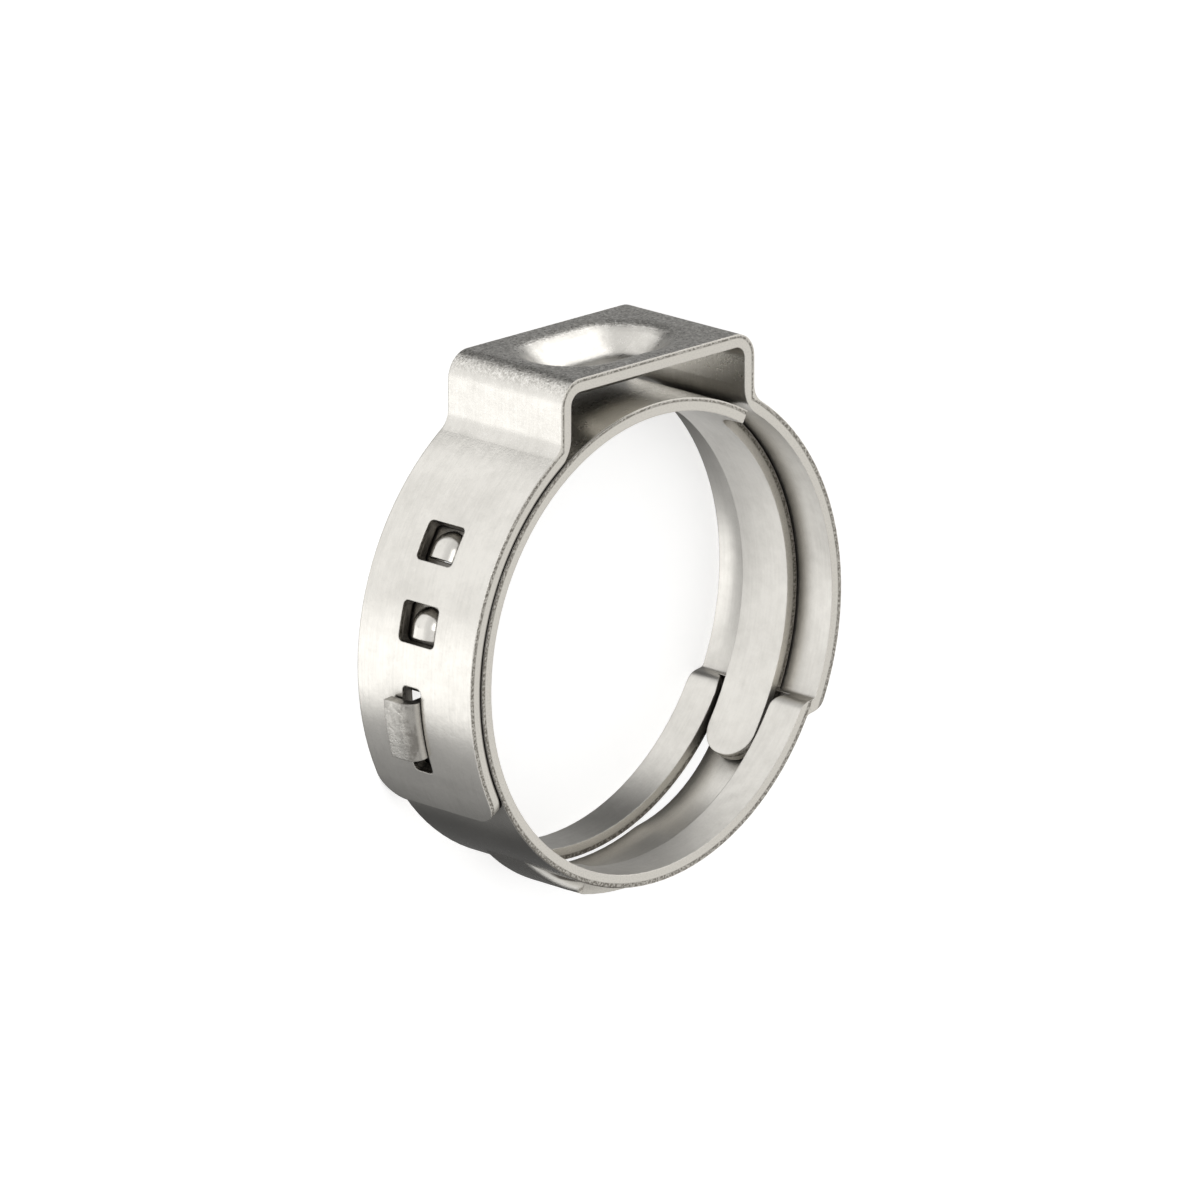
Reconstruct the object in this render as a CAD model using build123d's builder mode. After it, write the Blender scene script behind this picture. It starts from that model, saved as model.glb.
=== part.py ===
from build123d import *
from math import acos, atan2, cos, degrees, radians, sin, sqrt
import os

# A stepless single-ear hose clamp, formed from one strip of stainless sheet.
# The bore axis is Z, through the origin at mid width. The ear is towards +Y.
# Angles are in degrees about Z from +X, anticlockwise. Lengths are in millimetres.

# The strip
strip_width = 7.0
strip_thickness = 0.6
bore_radius = 10.5
layer_gap = 0.1

# The ear
ear_inside_width = 11.0
ear_height = 1.4              # flat top above the outer layer
ear_bend_radius = 0.6         # inside the two top folds
root_bend_radius = 1.0        # inside the two folds at the roots

# The dimple pressed into the ear
dimple_hook_margin = 0.65     # from its end to the ear's fold, on the hook side
dimple_tongue_margin = 1.35   # the same on the tongue side
dimple_width = 4.8
dimple_depth = 1.2
dimple_draft = 48             # wall angle from straight down
dimple_bend_radius = 0.7      # inside its rim and inside its floor

# The outer end and its openings
outer_end_angle = 212
end_corner_radius = 1.3
window_starts = (144.5, 162.5)
window_angle = 9.1
window_width = 2.2
window_corner_radius = 0.25
slot_start = 181.0
slot_end = 201.3
slot_near_edge = 0.42
slot_width = 1.14

# The two drawn hooks, which stand in the windows
hook_width = 1.84
hook_straight = 0.5
hook_height = 0.62
hook_wall = 0.34
hook_clearance = 0.25         # from the free edge to the end of the window

# The guide hook, a tab bent up through the slot and folded over its far edge
tab_start = 184.0
tab_end = 197.0
tab_thickness = 0.5
tab_edge_gap = 0.06
tab_reach = 1.65
tab_fold_radius = 0.2         # inside both folds
tab_blank_margin = 0.15

# The step from the outer layer down to the two rails
step_angle = -25.4
step_run = 0.49               # along the band while the sheet drops one layer
step_lag = 0.3                # outer skin behind the inner skin, keeps the sheet whole
step_bend_radius = 0.25

# The channel pressed outwards between the rails
channel_width = 3.3
slit_gap = 0.06
slit_start_angle = -26.2
slit_end_angle = -104.0
channel_bulge = 0.45
bulge_start_angle = -30.0
bulge_end_angle = -70.0
channel_end_angle = -124.0
channel_wall = 0.34
slit_flare_radius = 0.65      # the rails' rounded corners at the step
slit_flare_run = 0.9          # along the band, from the step to the end of the rounding
bulge_blend_radius = 3.0
ramp_edge_radius = 0.5
ramp_share = 0.45             # of the ramp's fall, at the middle of its length

# The inner end: a square shoulder, then a tongue
shoulder_angle = 59.2
tongue_width = 2.8
tongue_root_radius = 1.7
tongue_tip_angle = -45.2
tongue_tip_radius = 1.3
tongue_spring_angle = -18.0
tongue_spring_out = 0.35

# Worked-out sizes
inner_skin = bore_radius + strip_thickness
outer_layer = inner_skin + layer_gap
outer_skin = outer_layer + strip_thickness
ear_half_inside = ear_inside_width / 2
ear_half_outside = ear_half_inside + strip_thickness
ear_top = outer_skin + ear_height
ear_under = ear_top - strip_thickness
ear_flat = ear_inside_width - 2 * ear_bend_radius
dimple_length = ear_flat - dimple_hook_margin - dimple_tongue_margin
dimple_shift = (dimple_hook_margin - dimple_tongue_margin) / 2
root_angle = degrees(acos(ear_half_inside / outer_layer))
mid_gap = inner_skin + layer_gap / 2
clear = 1.0                   # how far a cutter passes the sheet
overlap_angle = 1.0           # how far joined pieces run into each other
tiny = 0.01                   # for picking edges by their place
full_turn = 360
half_width = strip_width / 2


def polar(radius, angle):
    """The point at this radius and angle about the bore axis."""
    return (radius * cos(radians(angle)), radius * sin(radians(angle)))


def arc_angle(length, radius):
    """The angle that a length takes up along a circle."""
    return degrees(length / radius)


def sector(low, high, start, end):
    """A piece of a ring between two radii and two angles, in the current sketch."""
    with BuildLine() as outline:
        CenterArc((0, 0), low, start, end - start)
        CenterArc((0, 0), high, start, end - start)
        Line(polar(low, start), polar(high, start))
        Line(polar(low, end), polar(high, end))
    make_face(outline.edges())


def round_corner(sketch, point, radius):
    """Round the corner of a sketch that lies nearest to a point."""
    fillet(sketch.vertices().sort_by_distance(point + (0,))[0], radius)


def arch(width, height, sink):
    """A hook's round-topped section, standing on x, with a foot sunk below it."""
    with BuildLine() as outline:
        ThreePointArc((-width / 2, 0), (0, height), (width / 2, 0))
        Polyline((-width / 2, 0), (-width / 2, -sink), (width / 2, -sink), (width / 2, 0))
    make_face(outline.edges())


def hook_plane(angle):
    """The plane of a hook's arch: x along the bore, y outwards, facing the outer end."""
    return Plane(
        origin=polar(inner_skin, angle) + (0,),
        x_dir=(0, 0, 1),
        z_dir=polar(1, angle + 90) + (0,),
    )


# Where the step's inner and outer skins start and stop
step_inner_end = step_angle - arc_angle(step_run, bore_radius)
step_outer_start = step_angle - arc_angle(step_lag, outer_skin)
step_outer_end = step_inner_end - arc_angle(step_lag, inner_skin)

# The spring of the tongue: a larger arc, tangent to the bore circle
spring_sweep = tongue_spring_angle - tongue_tip_angle
spring_shift = tongue_spring_out / (1 - cos(radians(spring_sweep)))
spring_centre = polar(-spring_shift, tongue_spring_angle)
spring_arc = spring_sweep * bore_radius / (bore_radius + spring_shift)

# The inner end: the last of the full width, and the tongue with its curved root and round tip
root_sweep = arc_angle(tongue_root_radius, bore_radius)
root_plane = Plane(
    origin=polar(bore_radius - clear, shoulder_angle) + (0,),
    x_dir=polar(1, shoulder_angle - 90) + (0,),
    z_dir=polar(1, shoulder_angle) + (0,),
)
with BuildPart() as tongue:
    with BuildSketch():
        sector(bore_radius, inner_skin, shoulder_angle - root_sweep, shoulder_angle + root_sweep)
    extrude(amount=half_width, both=True)
    with BuildSketch(root_plane):
        Rectangle(2 * tongue_root_radius, tongue_width + 2 * tongue_root_radius)
        for side in (-1, 1):
            with Locations((tongue_root_radius, side * (tongue_width / 2 + tongue_root_radius))):
                Circle(tongue_root_radius, mode=Mode.SUBTRACT)
    extrude(amount=strip_thickness + 2 * clear, mode=Mode.INTERSECT)
    with BuildSketch():
        sector(bore_radius, inner_skin, tongue_spring_angle, shoulder_angle + overlap_angle)
        with BuildLine() as spring:
            CenterArc(spring_centre, bore_radius + spring_shift, tongue_spring_angle, -spring_arc)
            CenterArc(spring_centre, inner_skin + spring_shift, tongue_spring_angle, -spring_arc)
            Line(polar(bore_radius, tongue_spring_angle), polar(inner_skin, tongue_spring_angle))
            tips = [edge @ 1 for edge in spring.edges().filter_by(GeomType.CIRCLE)]
            Line(tips[0], tips[1])
        make_face()
    extrude(amount=tongue_width / 2, both=True)
    tip_corners = tongue.edges().filter_by(GeomType.LINE).filter_by(Axis.Z, reverse=True)
    fillet(tip_corners.sort_by_distance(tips[0])[:2], tongue_tip_radius)

# The drawn end of the channel, which falls to the inner layer with rounded sides
ramp_middle = (slit_end_angle + channel_end_angle) / 2
ramp_drop = layer_gap + strip_thickness
with BuildPart() as drawn_ramp:
    with BuildSketch():
        with BuildLine():
            ThreePointArc(
                polar(outer_skin, slit_end_angle),
                polar(outer_skin - ramp_drop * ramp_share, ramp_middle),
                polar(inner_skin, channel_end_angle),
            )
            CenterArc((0, 0), bore_radius, channel_end_angle, slit_end_angle - channel_end_angle)
            Line(polar(bore_radius, slit_end_angle), polar(outer_skin, slit_end_angle))
            Line(polar(bore_radius, channel_end_angle), polar(inner_skin, channel_end_angle))
        make_face()
    extrude(amount=channel_width / 2 - slit_gap, both=True)
    ramp_top = drawn_ramp.faces().sort_by_distance(polar(outer_skin, ramp_middle) + (0,))[0]
    fillet(ramp_top.edges().filter_by(GeomType.LINE, reverse=True), ramp_edge_radius)

with BuildPart() as clamp_band:
    # The strip seen along the bore, from the outer end round to the shoulder
    with BuildSketch() as strip_profile:
        with Locations((0, ear_top / 2)):
            Rectangle(2 * ear_half_outside, ear_top)
        with Locations((0, ear_under / 2)):
            Rectangle(2 * ear_half_inside, ear_under, mode=Mode.SUBTRACT)
        Circle(outer_layer, mode=Mode.SUBTRACT)
        sector(outer_layer, outer_skin, 180 - root_angle, outer_end_angle)
        sector(outer_layer, outer_skin, step_angle, root_angle)
        with BuildLine():
            Polyline(
                polar(outer_skin, step_angle),
                polar(outer_layer, step_angle),
                polar(bore_radius, step_inner_end),
                polar(inner_skin, step_outer_end),
                polar(outer_skin, step_outer_start),
            )
            CenterArc((0, 0), outer_skin, step_outer_start, step_angle - step_outer_start)
        make_face()
        sector(bore_radius, inner_skin, shoulder_angle, full_turn + step_inner_end)
        leg_foot = sqrt(outer_skin**2 - ear_half_outside**2)
        throat = sqrt(outer_layer**2 - ear_half_inside**2)
        for side in (-1, 1):
            round_corner(strip_profile, (side * ear_half_outside, ear_top), ear_bend_radius + strip_thickness)
            round_corner(strip_profile, (side * ear_half_inside, ear_under), ear_bend_radius)
            round_corner(strip_profile, (side * ear_half_outside, leg_foot), root_bend_radius)
            round_corner(strip_profile, (side * ear_half_inside, throat), root_bend_radius + strip_thickness)
        outside_bend = step_bend_radius + strip_thickness
        round_corner(strip_profile, polar(outer_layer, step_angle), step_bend_radius)
        round_corner(strip_profile, polar(inner_skin, step_outer_end), step_bend_radius)
        round_corner(strip_profile, polar(outer_skin, step_outer_start), outside_bend)
        round_corner(strip_profile, polar(bore_radius, step_inner_end), outside_bend)
    extrude(amount=half_width, both=True)

    # The dimple: the same dish pushed out below the ear and cut out above it, then its bends
    for level, mode in ((ear_under, Mode.ADD), (ear_top, Mode.SUBTRACT)):
        with BuildSketch(Plane(origin=(dimple_shift, level, 0), x_dir=(1, 0, 0), z_dir=(0, -1, 0))):
            SlotOverall(dimple_length, dimple_width)
        extrude(amount=dimple_depth, taper=dimple_draft, mode=mode)
    outside_dimple_bend = dimple_bend_radius + strip_thickness
    for level, bend_radius in (
        (ear_top, outside_dimple_bend),
        (ear_under, dimple_bend_radius),
        (ear_top - dimple_depth, dimple_bend_radius),
        (ear_under - dimple_depth, outside_dimple_bend),
    ):
        dimple_loop = []
        for edge in clamp_band.edges().filter_by_position(Axis.Y, level - tiny, level + tiny):
            middle = edge.center()
            if abs(middle.Z) < half_width - tiny and abs(middle.X) < ear_flat / 2:
                dimple_loop.append(edge)
        fillet(dimple_loop, bend_radius)

    # Cut corners of the outer end
    end_point = polar((outer_layer + outer_skin) / 2, outer_end_angle) + (0,)
    end_face = clamp_band.faces().sort_by_distance(end_point)[0]
    end_corners = end_face.edges().filter_by(Axis.Z, reverse=True)
    fillet(end_corners, end_corner_radius)

    # The slits: the rails part from the middle of the strip, with their first corners rounded off
    with BuildSketch():
        sector(bore_radius - clear, outer_skin + clear, slit_end_angle, slit_start_angle)
    extrude(amount=channel_width / 2, both=True, mode=Mode.SUBTRACT)
    flare_plane = Plane(
        origin=polar(bore_radius - clear, slit_start_angle) + (0,),
        x_dir=polar(1, slit_start_angle - 90) + (0,),
        z_dir=polar(1, slit_start_angle) + (0,),
    )
    with BuildSketch(flare_plane):
        with Locations((slit_flare_run / 2, 0)):
            Rectangle(slit_flare_run, channel_width + 2 * slit_flare_radius)
        for side in (-1, 1):
            with Locations((slit_flare_run, side * (channel_width / 2 + slit_flare_radius))):
                Ellipse(slit_flare_run, slit_flare_radius, mode=Mode.SUBTRACT)
    extrude(amount=outer_skin - bore_radius + 2 * clear, mode=Mode.SUBTRACT)

    # The channel: the middle of the strip runs on outside the rails and ends in a drawn ramp
    bulge_middle = (bulge_start_angle + bulge_end_angle) / 2
    with BuildSketch() as channel_floor:
        with BuildLine():
            for low in (outer_layer, outer_skin):
                CenterArc((0, 0), low, bulge_start_angle, step_angle + overlap_angle - bulge_start_angle)
                ThreePointArc(
                    polar(low, bulge_start_angle),
                    polar(low + channel_bulge, bulge_middle),
                    polar(low, bulge_end_angle),
                )
                CenterArc((0, 0), low, slit_end_angle, bulge_end_angle - slit_end_angle)
            Line(polar(outer_layer, step_angle + overlap_angle), polar(outer_skin, step_angle + overlap_angle))
            Line(polar(outer_layer, slit_end_angle), polar(outer_skin, slit_end_angle))
        make_face()
        for low in (outer_layer, outer_skin):
            round_corner(channel_floor, polar(low, bulge_start_angle), bulge_blend_radius)
            round_corner(channel_floor, polar(low, bulge_end_angle), bulge_blend_radius)
    extrude(amount=channel_width / 2 - slit_gap, both=True)
    add(drawn_ramp.part)
    with BuildSketch():
        with BuildLine():
            ThreePointArc(
                polar(outer_layer, slit_end_angle),
                polar(outer_layer - ramp_drop * ramp_share, ramp_middle),
                polar(bore_radius, channel_end_angle),
            )
            CenterArc((0, 0), bore_radius - clear, channel_end_angle, slit_end_angle - channel_end_angle)
            Line(polar(bore_radius - clear, slit_end_angle), polar(outer_layer, slit_end_angle))
            Line(polar(bore_radius - clear, channel_end_angle), polar(bore_radius, channel_end_angle))
        make_face()
    extrude(amount=channel_width / 2 - slit_gap - channel_wall, both=True, mode=Mode.SUBTRACT)

    # Windows and slot, through the outer layer alone
    for start in window_starts:
        with BuildSketch(Plane.XY.offset(-window_width / 2)):
            sector(mid_gap, outer_skin + clear, start, start + window_angle)
        extrude(amount=window_width, mode=Mode.SUBTRACT)
    with BuildSketch(Plane.XY.offset(slot_near_edge - slot_width)):
        sector(mid_gap, outer_skin + clear, slot_start, slot_end)
    extrude(amount=slot_width, mode=Mode.SUBTRACT)
    radial_edges = clamp_band.edges().filter_by(Axis.Z, reverse=True).filter_by(GeomType.LINE)
    opening_corners = []
    for edge in radial_edges:
        middle = edge.center()
        turn = degrees(atan2(middle.Y, middle.X)) % full_turn
        beside = window_starts[0] - overlap_angle < turn < slot_end + overlap_angle
        if beside and abs(middle.Z) < half_width - clear and abs(edge.length - strip_thickness) < layer_gap:
            opening_corners.append(edge)
    fillet(opening_corners, window_corner_radius)

    # The drawn hooks of the inner layer: half an arch, closed by half a dome, hollow from inside
    for start in window_starts:
        free_edge = start + window_angle - arc_angle(hook_clearance, outer_skin)
        dome_angle = free_edge - arc_angle(hook_straight, inner_skin)
        for width, height, sink, mode in (
            (hook_width, hook_height, strip_thickness / 2, Mode.ADD),
            (hook_width - 2 * hook_wall, hook_height - hook_wall, strip_thickness + clear, Mode.SUBTRACT),
        ):
            with BuildSketch(hook_plane(dome_angle)):
                arch(width, height, sink)
            extrude(amount=hook_straight, mode=mode)
            with BuildSketch(hook_plane(dome_angle)):
                arch(width, height, sink)
                with Locations((-width / 2, 0)):
                    Rectangle(width, 2 * (height + sink) + clear, mode=Mode.SUBTRACT)
            dome_axis = Axis(polar(inner_skin, dome_angle) + (0,), polar(1, dome_angle) + (0,))
            revolve(axis=dome_axis, revolution_arc=180, mode=mode)

    # The guide hook: its blank is open in the inner layer, and the tab stands in the slot
    tab_face = slot_near_edge - tab_edge_gap
    tab_under = outer_skin + layer_gap
    tab_top = tab_under + tab_thickness
    tab_rise = tab_top - inner_skin
    blank_width = tab_rise + tab_reach - tab_thickness
    with BuildSketch(Plane.XY.offset(tab_face - blank_width)):
        sector(
            bore_radius - clear,
            mid_gap,
            tab_start - arc_angle(tab_blank_margin, inner_skin),
            tab_end + arc_angle(tab_blank_margin, inner_skin),
        )
    extrude(amount=blank_width, mode=Mode.SUBTRACT)
    tab_section = Plane(
        origin=(0, 0, 0),
        x_dir=polar(1, tab_start) + (0,),
        z_dir=polar(1, tab_start - 90) + (0,),
    )
    with BuildSketch(tab_section) as tab_profile:
        with BuildLine():
            Polyline(
                (bore_radius, tab_face + layer_gap),
                (bore_radius, tab_face - tab_thickness),
                (tab_under, tab_face - tab_thickness),
                (tab_under, tab_face - tab_reach),
                (tab_top, tab_face - tab_reach),
                (tab_top, tab_face),
                (inner_skin, tab_face),
                (inner_skin, tab_face + layer_gap),
                close=True,
            )
        make_face()
        round_corner(tab_profile, (tab_top, tab_face), tab_fold_radius + tab_thickness)
        round_corner(tab_profile, (tab_under, tab_face - tab_thickness), tab_fold_radius)
        round_corner(tab_profile, (bore_radius, tab_face - tab_thickness), tab_fold_radius + tab_thickness / 2)
    revolve(axis=Axis.Z, revolution_arc=tab_end - tab_start)

    add(tongue.part)

clamp_band.part.label = "clamp_band"
print(len(clamp_band.solids()), clamp_band.part.volume, clamp_band.part.is_valid)
os.makedirs("parts", exist_ok=True)
export_step(clamp_band.part, "parts/clamp_band.step")
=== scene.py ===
from types import SimpleNamespace

import bmesh
import bpy
from mathutils import Matrix, Vector


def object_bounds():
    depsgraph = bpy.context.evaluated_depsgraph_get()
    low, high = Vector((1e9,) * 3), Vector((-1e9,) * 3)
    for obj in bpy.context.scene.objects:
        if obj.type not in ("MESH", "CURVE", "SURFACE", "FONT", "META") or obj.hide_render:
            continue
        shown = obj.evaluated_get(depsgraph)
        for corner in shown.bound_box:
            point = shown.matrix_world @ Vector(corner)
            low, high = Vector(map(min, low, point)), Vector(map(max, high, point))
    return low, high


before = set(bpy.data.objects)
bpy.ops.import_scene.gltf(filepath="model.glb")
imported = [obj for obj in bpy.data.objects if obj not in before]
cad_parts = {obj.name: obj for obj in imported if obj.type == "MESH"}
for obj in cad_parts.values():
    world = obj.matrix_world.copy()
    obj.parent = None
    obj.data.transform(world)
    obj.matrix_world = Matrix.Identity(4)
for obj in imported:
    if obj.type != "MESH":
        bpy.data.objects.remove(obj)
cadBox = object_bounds()
print("frame loaded")

fullTurn = 6.28319  # radians


class Val:
    # a shader socket, wrapped so that sums on it read as Python
    def __init__(self, tree, socket):
        self.tree = tree
        self.socket = socket

    def maths(self, operation, first, second):
        node = self.tree.nodes.new("ShaderNodeMath")
        node.operation = operation
        for place, item in enumerate((first, second)):
            if isinstance(item, Val):
                self.tree.links.new(item.socket, node.inputs[place])
            elif item is not None:
                node.inputs[place].default_value = item
        return Val(self.tree, node.outputs[0])

    def __add__(self, other):
        return self.maths("ADD", self, other)

    def __radd__(self, other):
        return self.maths("ADD", other, self)

    def __sub__(self, other):
        return self.maths("SUBTRACT", self, other)

    def __rsub__(self, other):
        return self.maths("SUBTRACT", other, self)

    def __mul__(self, other):
        return self.maths("MULTIPLY", self, other)

    def __rmul__(self, other):
        return self.maths("MULTIPLY", other, self)

    def __truediv__(self, other):
        return self.maths("DIVIDE", self, other)

    def __pow__(self, other):
        return self.maths("POWER", self, other)

    def __abs__(self):
        return self.maths("ABSOLUTE", self, None)

    def larger(self, other):
        return self.maths("MAXIMUM", self, other)

    def smaller(self, other):
        return self.maths("MINIMUM", self, other)

    def swing(self, size):
        # a noise about its middle, made as large as asked
        return (self - 0.5) * size

    def turnFrom(self, other):
        # direction as a share of a turn, from the other axis towards this one
        turn = self.maths("ARCTAN2", self, other) / fullTurn + 1.0
        return self.maths("FRACT", turn, None)


class Nodes:
    # a node tree, and one method that adds any node to it
    def __init__(self, tree):
        self.tree = tree
        tree.nodes.clear()

    def add(self, kind, settings=None, sockets=None, out=0):
        node = self.tree.nodes.new(kind)
        for key, value in (settings or {}).items():
            if key == "stops":
                ramp = node.color_ramp
                while len(ramp.elements) < len(value):
                    ramp.elements.new(0.5)
                for element, (place, shade) in zip(ramp.elements, value):
                    element.position = place
                    element.color = (shade, shade, shade, 1)
            else:
                setattr(node, key, value)
        for key, value in (sockets or {}).items():
            if isinstance(value, Val):
                self.tree.links.new(value.socket, node.inputs[key])
            else:
                node.inputs[key].default_value = value
        if isinstance(out, tuple):
            return [Val(self.tree, node.outputs[name]) for name in out]
        return Val(self.tree, node.outputs[out]) if len(node.outputs) else None

    def stretched(self, place, scale):
        return self.add("ShaderNodeMapping", {}, {"Vector": place, "Scale": scale})

    def millimetres(self, place):
        return self.stretched(place, (1000, 1000, 1000))

    def rise(self, value, low, high):
        # 0 below low, 1 above high, smooth between
        return self.add(
            "ShaderNodeMapRange",
            {"interpolation_type": "SMOOTHSTEP"},
            {"Value": value, "From Min": low, "From Max": high},
        )

    def below(self, value, limit, fade):
        # 0 above the limit, 1 once the value is below it by the fade
        return self.rise(limit - value, 0.0, fade)

    def apart(self, vector):
        return self.add("ShaderNodeSeparateXYZ", {}, {"Vector": vector}, out=("X", "Y", "Z"))

    def blend(self, share, first, second):
        # the second colour over the first; sockets 6, 7 and 2 are the ones for colours
        return self.add(
            "ShaderNodeMix",
            {"data_type": "RGBA"},
            {"Factor": share, 6: first, 7: second},
            out=2,
        )

    def noise(self, place, scale, detail, roughness):
        return self.add(
            "ShaderNodeTexNoise",
            {"noise_dimensions": "3D"},
            {"Vector": place, "Scale": scale, "Detail": detail, "Roughness": roughness},
        )


# the stainless strip: a pair is where a change starts and ends, and places are in millimetres,
# unless a note says otherwise
stripLook = {
    # colours
    "steel": (0.70, 0.680, 0.637, 1),
    "worn": (0.46, 0.445, 0.412, 1),
    # painted glints on the ear
    "paintedGlint": (0.95, 0.935, 0.90, 1),
    # dark grain on the ear, and painted shade on the tab
    "dieMarkAndShade": (0.15, 0.14, 0.125, 1),
    "cutFace": (0.66, 0.632, 0.575, 1),
    "shearLine": (0.13, 0.118, 0.098, 1),
    # painted shade, for the corners and for the gap between the layers
    "paintedShade": (0.060, 0.052, 0.043, 1),
    # noises: scale, detail and roughness, and how two of them are stretched along the strip
    "streaks": (1.0, 3.0, 0.6),
    "scratches": (1.0, 2.0, 0.6),
    "patches": (0.45, 2.0, 0.5),
    "clouds": (1.9, 3.0, 0.65),
    "speckle": (8.0, 3.0, 0.7),
    "fineSpeckle": (14.0, 2.0, 0.6),
    "coarseSpeckle": (5.5, 2.0, 0.6),
    "streakStretch": (350, 350, 8000),
    "scratchStretch": (900, 900, 16000),
    # faces: how squarely they face along the bore, along the strip or inwards
    "acrossCut": (0.8, 0.95),
    "alongCut": (0.55, 0.75),
    "alongCutBelow": (9.8, 0.3),  # limit and fade
    "alongCutWithin": (12.0, 0.1),  # limit and fade
    "insideFacing": (0.3, 0.6),
    # layers of sheet, and painted shadow on the cut faces beside the gap between them
    "outerSkin": 11.8,
    "innerSkin": 11.1,
    "layerChange": (11.14, 11.16),
    "gapMiddle": 11.15,
    "gapHalf": (0.06, 0.14),
    "gapSide": (1.0, 3.0),
    "gapShadeShare": 0.9,
    # ear, its flat top and the dimple in it
    "ear": (8.6, 10.2),
    "earHalf": 6.1,
    "earTop": 13.2,
    "earBend": 1.2,
    "earFlat": (12.3, 13.0),
    "dimpleDepth": (0.05, 0.25),
    "dimpleLength": (4.7, 0.3),  # half length and fade
    "dimpleSkin": (11.5, 11.8),
    # tab, bottom and drawn hooks
    "tabRadius": (11.85, 12.0),
    "tabSide": (6.0, 7.0),
    "tabShade": (-0.9, 0.1),
    "bottom": (6.0, 11.0),
    "hookFoot": (11.15, 11.25),
    "hookTop": (11.74, 11.79),
    "hookFacing": (0.2, 0.5),
    # how pressed each part looks
    "pressedEar": 0.35,
    "pressedTab": 0.8,
    "pressedBottom": 0.45,
    "pressedInsideLess": 0.7,
    # painted shade in corners, with its reach in metres
    "cornerReach": 0.0012,
    "shadeOpenness": (0.22, 0.97),
    "shadeShare": 0.88,
    "shadeEarLess": 0.65,
    "shadeHookLess": 0.75,
    # wear of the skins
    "wearBase": 0.16,
    "wearStreaks": 0.35,
    "wearScratches": 0.16,
    "wearPatches": 0.7,
    "wearClouds": 0.5,
    "wearSpeckle": 0.25,
    "wearPressed": 1.6,
    "wearEarFlat": 2.0,
    "wearTab": 0.2,
    # marks on the ear and the tab, mostly by the level of a noise: dark grain and painted glints
    # on the ear, painted shade and die clouds on the tab
    "darkGrain": (0.40, 0.52),
    "darkGrainShare": 0.5,
    "glintGrain": (0.56, 0.64),
    "glintEarFlat": 0.9,
    "glintEar": 0.3,
    "tabShadeShare": 0.65,
    "tabCloud": (0.45, 0.62),
    "tabCloudShare": 0.25,
    # cut faces and the sheared line on them
    "cutGrain": (0.40, 0.70),
    "cutWear": 0.45,
    "shearDepth": 0.13,
    "shearHalf": 0.07,
    "shearFade": 0.05,
    "shearJag": 0.12,
    "shearEarLess": 0.6,
    "shearGrain": (0.41, 0.57),
    "shearShare": 0.28,
    "shearGrainShare": 0.62,
    # roughness
    "roughness": 0.19,
    "insideRoughness": 0.33,
    "pressedRoughness": 0.33,
    "cutRoughness": 0.40,
    "roughStreaks": 0.10,
    "roughClouds": 0.16,
    "roughShade": 0.2,
    "roughDimple": 0.10,
    "roughDimpleClouds": 0.3,
    "roughSpeckle": 0.35,
    # relief, with its height and the rounding of the edges in metres
    "relief": 0.00003,
    "reliefStrength": 0.25,
    "edgeRound": 0.00008,
    "reliefStreaks": 0.10,
    "reliefScratches": 0.03,
    "reliefClouds": 0.5,
    "reliefSpeckle": 0.3,
    "reliefPressed": 3.2,
    "reliefEarFlat": 2.5,
    "reliefFine": 0.12,
    "reliefFinePressed": 1.5,
    "reliefCut": 0.6,
    "reliefShear": 3.0,
    # samples of the openness and of the rounded edges
    "softSamples": 3,
}


def stripNoises(nodes, place, millimetres, look):
    # streaks along the strip, patches, and a speckle for where the sheet was pressed
    streakPlace = nodes.stretched(place, look["streakStretch"])
    scratchPlace = nodes.stretched(place, look["scratchStretch"])
    return SimpleNamespace(
        streaks=nodes.noise(streakPlace, *look["streaks"]),
        scratches=nodes.noise(scratchPlace, *look["scratches"]),
        patches=nodes.noise(millimetres, *look["patches"]),
        clouds=nodes.noise(millimetres, *look["clouds"]),
        speckle=nodes.noise(millimetres, *look["speckle"]),
        fineSpeckle=nodes.noise(millimetres, *look["fineSpeckle"]),
        coarseSpeckle=nodes.noise(millimetres, *look["coarseSpeckle"]),
    )


def sheetDepth(nodes, x, y, radius, look):
    # depth below the sheet's outer skin, round the band and round the ear
    sideways = (abs(x) - (look["earHalf"] - look["earBend"])).larger(0)
    upwards = (y - (look["earTop"] - look["earBend"])).larger(0)
    earDepth = look["earBend"] - (sideways * sideways + upwards * upwards) ** 0.5
    outerDepth = (look["outerSkin"] - radius).larger(earDepth)
    outerLayer = nodes.rise(radius, *look["layerChange"])
    return outerDepth * outerLayer + (look["innerSkin"] - radius) * (1 - outerLayer)


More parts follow.
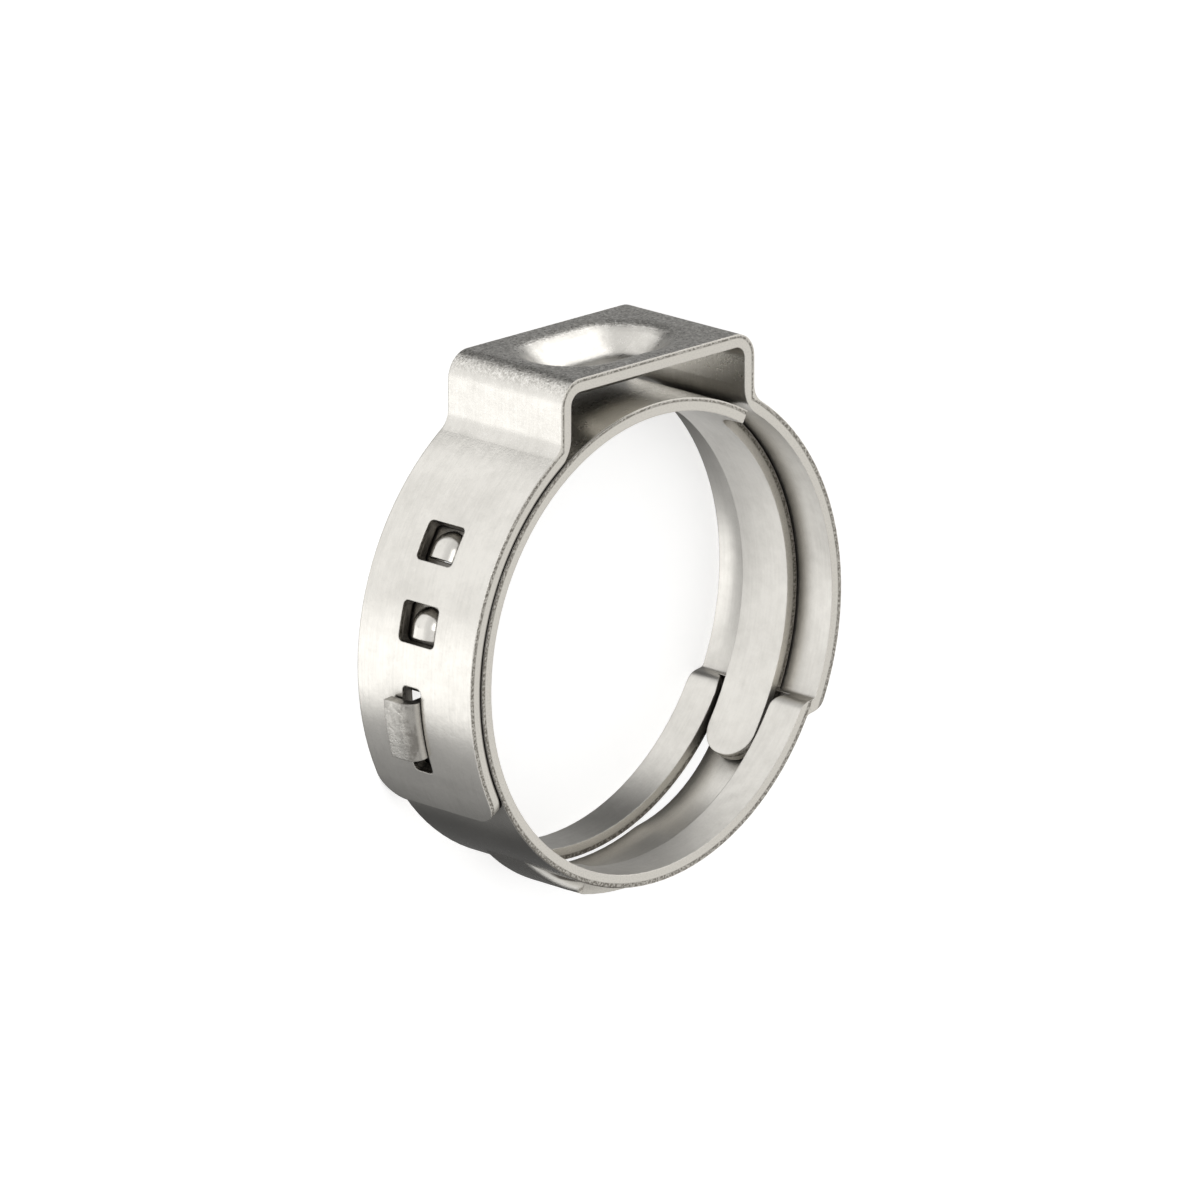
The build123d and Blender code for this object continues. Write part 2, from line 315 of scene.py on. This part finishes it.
def stripParts(nodes, millimetres, facing, look):
    # masks that are 1 on a part of the strip and 0 off it, and the depth in the sheet
    x, y, z = nodes.apart(millimetres)
    normalX, normalY, normalZ = nodes.apart(facing)
    radius = (x * x + y * y) ** 0.5
    outwards = (x * normalX + y * normalY) / radius
    acrossCut = nodes.rise(abs(normalZ), *look["acrossCut"])
    alongCut = nodes.rise(1 - abs(outwards), *look["alongCut"])
    alongCut = alongCut * nodes.below(y, *look["alongCutBelow"])
    alongCut = alongCut * nodes.below(radius, *look["alongCutWithin"])
    inside = nodes.rise(-1 * outwards, *look["insideFacing"])
    ear = nodes.rise(y, *look["ear"])
    dimple = nodes.rise(look["earTop"] - y, *look["dimpleDepth"])
    dimple = dimple * nodes.below(abs(x), *look["dimpleLength"])
    earFlat = nodes.rise(y, *look["earFlat"]) * (1 - inside) * (1 - dimple)
    tab = nodes.rise(radius, *look["tabRadius"]) * (1 - ear) * nodes.rise(-1 * x, *look["tabSide"])
    bottom = nodes.rise(-1 * y, *look["bottom"])
    hooks = nodes.rise(radius, *look["hookFoot"]) * (1 - nodes.rise(radius, *look["hookTop"]))
    pressed = earFlat.larger(ear * look["pressedEar"]).larger(tab * look["pressedTab"])
    pressed = pressed.larger(bottom * look["pressedBottom"])
    # painted shadow on the cut faces beside the gap between the layers, on the left side
    gap = 1 - nodes.rise(abs(radius - look["gapMiddle"]), *look["gapHalf"])
    return SimpleNamespace(
        cut=acrossCut.larger(alongCut),
        inside=inside,
        ear=ear,
        earFlat=earFlat,
        dimpleSkin=dimple * nodes.rise(y, *look["dimpleSkin"]) * (1 - inside),
        tab=tab,
        tabShade=nodes.rise(z, *look["tabShade"]),
        hooks=hooks * nodes.rise(outwards, *look["hookFacing"]),
        pressed=pressed * (1 - inside * look["pressedInsideLess"]),
        gap=gap * acrossCut * nodes.rise(-1 * x, *look["gapSide"]),
        depth=sheetDepth(nodes, x, y, radius, look),
    )


def cornerShade(nodes, part, look):
    # painted shade in the corners and in the gaps, less of it under the ear and on the hooks
    openness = nodes.add(
        "ShaderNodeAmbientOcclusion",
        {"samples": look["softSamples"], "only_local": True},
        {"Distance": look["cornerReach"]},
        out="AO",
    )
    paintedShade = (1 - nodes.rise(openness, *look["shadeOpenness"])) * look["shadeShare"]
    return paintedShade * (1 - part.ear * look["shadeEarLess"]) * (1 - part.hooks * look["shadeHookLess"])


def shearedLine(nodes, noise, part, look):
    # the line below the outer skin of a cut face, and the grain that breaks it up
    half = look["shearHalf"] * (1 - part.ear * look["shearEarLess"])
    offLine = part.depth + noise.speckle.swing(look["shearJag"]) - look["shearDepth"]
    line = 1 - nodes.rise(abs(offLine), half, half + look["shearFade"])
    return line, nodes.rise(noise.speckle, *look["shearGrain"])


def skinColour(nodes, noise, part, look):
    # worn in patches, dark grain with painted glints on the ear, die clouds and painted shade on
    # the tab
    wear = noise.streaks.swing(look["wearStreaks"]) + noise.scratches.swing(look["wearScratches"])
    wear = wear + noise.patches.swing(look["wearPatches"]) + noise.clouds.swing(look["wearClouds"])
    wear = wear + noise.speckle.swing(part.pressed * look["wearPressed"] + look["wearSpeckle"])
    wear = wear + noise.coarseSpeckle.swing(part.earFlat * look["wearEarFlat"])
    wear = wear + part.tab * look["wearTab"] + look["wearBase"]
    steel = nodes.blend(wear.larger(0).smaller(1), look["steel"], look["worn"])
    darkGrain = part.earFlat * (1 - nodes.rise(noise.speckle, *look["darkGrain"]))
    steel = nodes.blend(darkGrain * look["darkGrainShare"], steel, look["dieMarkAndShade"])
    # painted glints on the ear
    bright = (part.earFlat * look["glintEarFlat"]).larger(part.ear * look["glintEar"])
    bright = bright * nodes.rise(noise.speckle, *look["glintGrain"])
    steel = nodes.blend(bright, steel, look["paintedGlint"])
    # painted shade: the tab darker towards one side, with die clouds over it
    clouded = nodes.rise(noise.clouds, *look["tabCloud"]) * look["tabCloudShare"]
    dieMarkAndShade = part.tab * (part.tabShade * look["tabShadeShare"] + clouded)
    return nodes.blend(dieMarkAndShade, steel, look["dieMarkAndShade"])


def cutColour(nodes, noise, part, line, broken, look):
    # the dark sheared line, and painted shadow in the gap between the layers
    cutWear = nodes.rise(noise.fineSpeckle, *look["cutGrain"]) * look["cutWear"]
    cutFace = nodes.blend(cutWear, look["cutFace"], look["worn"])
    dark = line * (broken * look["shearGrainShare"] + look["shearShare"])
    cutFace = nodes.blend(dark, cutFace, look["shearLine"])
    return nodes.blend(part.gap * look["gapShadeShare"], cutFace, look["paintedShade"])


def stripRoughness(noise, part, paintedShade, look):
    rough = look["roughness"] + (look["insideRoughness"] - look["roughness"]) * part.inside
    rough = rough + noise.streaks.swing(look["roughStreaks"]) + paintedShade * look["roughShade"]
    rough = rough + noise.clouds.swing(look["roughClouds"])
    dimple = noise.clouds.swing(look["roughDimpleClouds"]) + look["roughDimple"]
    pressed = noise.speckle.swing(look["roughSpeckle"])
    pressed = pressed + (look["pressedRoughness"] - look["roughness"])
    rough = rough + part.dimpleSkin * dimple + part.pressed * pressed
    return rough * (1 - part.cut) + look["cutRoughness"] * part.cut


def stripRelief(noise, part, line, broken, look):
    skin = noise.streaks * look["reliefStreaks"] + noise.scratches * look["reliefScratches"]
    skin = skin + noise.clouds * look["reliefClouds"]
    skin = skin + noise.speckle * (part.pressed * look["reliefPressed"] + look["reliefSpeckle"])
    skin = skin + noise.coarseSpeckle * part.earFlat * look["reliefEarFlat"]
    fine = part.pressed * look["reliefFinePressed"] + look["reliefFine"]
    skin = skin + noise.fineSpeckle * fine
    cutFace = noise.fineSpeckle * look["reliefCut"] - line * broken * look["reliefShear"]
    return skin * (1 - part.cut) + cutFace * part.cut


def makeStrip(look):
    material = bpy.data.materials.new("stainlessStrip")
    material.use_nodes = True
    nodes = Nodes(material.node_tree)
    place, facing = nodes.add("ShaderNodeTexCoord", out=("Object", "Normal"))
    millimetres = nodes.millimetres(place)
    noise = stripNoises(nodes, place, millimetres, look)
    part = stripParts(nodes, millimetres, facing, look)
    paintedShade = cornerShade(nodes, part, look)
    line, broken = shearedLine(nodes, noise, part, look)
    steel = skinColour(nodes, noise, part, look)
    cutFace = cutColour(nodes, noise, part, line, broken, look)
    # painted shade in corners, laid over the steel and the cut faces
    colour = nodes.blend(paintedShade, nodes.blend(part.cut, steel, cutFace), look["paintedShade"])
    rounded = nodes.add(
        "ShaderNodeBevel", {"samples": look["softSamples"]}, {"Radius": look["edgeRound"]}
    )
    bump = nodes.add(
        "ShaderNodeBump",
        {},
        {
            "Height": stripRelief(noise, part, line, broken, look),
            "Strength": look["reliefStrength"],
            "Distance": look["relief"],
            "Normal": rounded,
        },
    )
    surface = nodes.add(
        "ShaderNodeBsdfPrincipled",
        {},
        {
            "Base Color": colour,
            "Metallic": 1.0,
            "Roughness": stripRoughness(noise, part, paintedShade, look),
            "Normal": bump,
        },
    )
    nodes.add("ShaderNodeOutputMaterial", {}, {"Surface": surface})
    return material


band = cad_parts["clamp_band"]
strip = makeStrip(stripLook)
for slot in band.material_slots:
    slot.material = strip
print("clamp band dressed")

# pale floor, its size in metres
floorLook = {"size": 3.0, "shade": (0.8, 0.8, 0.8, 1), "glow": 0.42}


def makeFloor(look):
    material = bpy.data.materials.new("paleFloor")
    material.use_nodes = True
    nodes = Nodes(material.node_tree)
    camera, glossy, through = nodes.add(
        "ShaderNodeLightPath", out=("Is Camera Ray", "Is Glossy Ray", "Is Transmission Ray")
    )
    seen = camera.larger(glossy).larger(through)
    matt = nodes.add("ShaderNodeBsdfDiffuse", {}, {"Color": look["shade"]})
    glow = nodes.add(
        "ShaderNodeEmission", {}, {"Color": (1, 1, 1, 1), "Strength": seen * look["glow"]}
    )
    both = nodes.add("ShaderNodeAddShader", {}, {0: matt, 1: glow})
    nodes.add("ShaderNodeOutputMaterial", {}, {"Surface": both})
    bpy.ops.mesh.primitive_plane_add(size=look["size"], location=(0, 0, cadBox[0][2]))
    floor = bpy.context.object
    floor.name = "floor"
    floor.data.materials.append(material)
    floor.visible_glossy = False


makeFloor(floorLook)

# a glowing disc inside the clamp, seen only as its walls mirror it and only over part of it: a
# painted reflection of the floor, dimmer towards +X
reflectedGlowLook = {
    "radius": 0.0103,  # metres
    "lift": 0.00001,  # metres
    "sides": 64,
    "glow": 1.15,
    "farGlow": 0.64,
    "farSlope": 0.5,
    "farChange": (6.0, 9.5),  # millimetres from the bore's axis, as the next two are
    "shownAbove": (-4.5, -3.0),
    "shownBeside": (0.0, 2.0),
}


def makeReflectedGlowDisc(look):
    material = bpy.data.materials.new("reflectedGlowDisc")
    material.use_nodes = True
    nodes = Nodes(material.node_tree)
    x, y, _ = nodes.apart(nodes.millimetres(nodes.add("ShaderNodeTexCoord", out="Object")))
    far = nodes.rise(x + y * look["farSlope"], *look["farChange"])
    strength = look["glow"] * (1 - far) + look["farGlow"] * far
    glow = nodes.add("ShaderNodeEmission", {}, {"Color": (1, 1, 1, 1), "Strength": strength})
    clear = nodes.add("ShaderNodeBsdfTransparent")
    shown = nodes.rise(y, *look["shownAbove"]) * nodes.rise(x, *look["shownBeside"])
    both = nodes.add("ShaderNodeMixShader", {}, {0: shown, 1: clear, 2: glow})
    nodes.add("ShaderNodeOutputMaterial", {}, {"Surface": both})
    mesh = bpy.data.meshes.new("reflectedGlowDisc")
    shape = bmesh.new()
    bmesh.ops.create_circle(shape, cap_ends=True, segments=look["sides"], radius=look["radius"])
    shape.to_mesh(mesh)
    shape.free()
    mesh.materials.append(material)
    inside = bpy.data.objects.new("reflectedGlowDisc", mesh)
    bpy.context.collection.objects.link(inside)
    inside.location = (0, 0, cadBox[0][2] + look["lift"])
    inside.visible_camera = False
    inside.visible_diffuse = False
    inside.visible_shadow = False


makeReflectedGlowDisc(reflectedGlowLook)
print("floor laid")

# studio light: a pale room, brighter on one side and dim on the other, as the metal mirrors it
roomLook = {
    "aroundStops": [  # share of a turn from +X towards +Y, and brightness
        (0.00, 0.31),
        (0.08, 0.41),
        (0.14, 0.10),
        (0.22, 0.10),
        (0.26, 1.18),
        (0.47, 1.20),
        (0.52, 1.60),
        (0.59, 1.55),
        (0.63, 0.50),
        (0.73, 0.26),
        (0.80, 0.07),
        (1.00, 0.20),
    ],
    "above": 0.95,
    "aboveFrom": (-0.35, 0.15),
    "window": (0.685, 0.668, 0.291),
    "windowEdge": (0.80, 0.96),
    "windowGlow": 0.95,
    "soft": 0.8,  # for rays that neither the camera nor a mirroring surface sends
}
keyLook = {"place": (-0.25, 0.15, 0.30), "size": 0.25, "power": 0.35}


def makeRoom(look):
    world = bpy.data.worlds.new("paleRoom")
    bpy.context.scene.world = world
    world.use_nodes = True
    nodes = Nodes(world.node_tree)
    x, y, z = nodes.apart(nodes.add("ShaderNodeTexCoord", out="Generated"))
    around = nodes.add(
        "ShaderNodeValToRGB", {"stops": look["aroundStops"]}, {"Fac": y.turnFrom(x)}
    )
    height = nodes.rise(z, *look["aboveFrom"])
    room = around * (1 - height) + look["above"] * height
    windowX, windowY, windowZ = look["window"]
    towards = x * windowX + y * windowY + z * windowZ
    room = room + nodes.rise(towards, *look["windowEdge"]) * look["windowGlow"]
    camera, glossy = nodes.add("ShaderNodeLightPath", out=("Is Camera Ray", "Is Glossy Ray"))
    strength = camera + (1 - camera) * (room * glossy + look["soft"] * (1 - glossy))
    background = nodes.add(
        "ShaderNodeBackground", {}, {"Color": (1, 1, 1, 1), "Strength": strength}
    )
    nodes.add("ShaderNodeOutputWorld", {}, {"Surface": background})


def makeKey(look):
    data = bpy.data.lights.new("key", "AREA")
    data.shape = "SQUARE"
    data.size = look["size"]
    data.energy = look["power"]
    lamp = bpy.data.objects.new("key", data)
    bpy.context.collection.objects.link(lamp)
    lamp.location = look["place"]
    lamp.rotation_euler = (-Vector(look["place"])).to_track_quat("-Z", "Y").to_euler()


makeRoom(roomLook)
makeKey(keyLook)
print("lights set")

# camera, looking down on the clamp with its ear towards the top of the view
cameraLook = {
    "towards": (-0.6847, 0.2910, 0.6681),  # direction from the clamp to the camera
    "right": (0.6984, 0.0, 0.7157),
    "distance": 0.600,  # metres
    "aside": -0.0000656,
    "above": 0.0012092,
    "clip": (0.01, 50),
    "lens": 405.167,  # millimetres
    "sensor": 36.0,
}


def makeCamera(look):
    data = bpy.data.cameras.new("viewCamera")
    data.lens = look["lens"]
    data.sensor_width = look["sensor"]
    data.clip_start, data.clip_end = look["clip"]
    camera = bpy.data.objects.new("viewCamera", data)
    bpy.context.collection.objects.link(camera)
    back = Vector(look["towards"]).normalized()
    side = Vector(look["right"]).normalized()
    above = back.cross(side)
    place = back * look["distance"] + side * look["aside"] + above * look["above"]
    turn = Matrix((side, above, back)).transposed()
    camera.matrix_world = Matrix.Translation(place) @ turn.to_4x4()
    bpy.context.scene.camera = camera


makeCamera(cameraLook)
bpy.context.scene.view_settings.view_transform = "Standard"
print("camera set")
